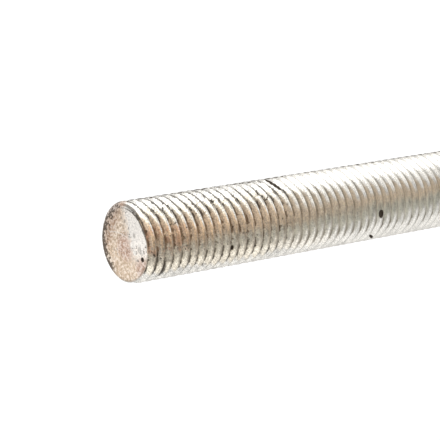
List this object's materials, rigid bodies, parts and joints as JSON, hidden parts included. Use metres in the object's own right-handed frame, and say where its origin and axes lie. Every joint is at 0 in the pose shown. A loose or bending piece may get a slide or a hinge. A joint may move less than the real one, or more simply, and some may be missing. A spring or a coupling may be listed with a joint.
{
  "type": "threaded rod",
  "caption": "Straight round steel rod with a right-hand metric thread over its whole length and flat chamfered ends, for clamping, hanging or joining parts with nuts.",
  "frame": {"origin": "centre of the foot, the flat sawn end that the rod stands on", "axes": "+Z along the rod's axis from the foot to the top end, +X across it towards the angle from which the thread starts, +Y across both"},
  "size_m": [0.016, 0.016, 0.15],
  "materials": {
    "plated_steel": "dull bright plating, with dirt in the groove and bare sawn ends"
  },
  "bodies": {
    "root": {"rod": "plated_steel"}
  },
  "joints": []
}
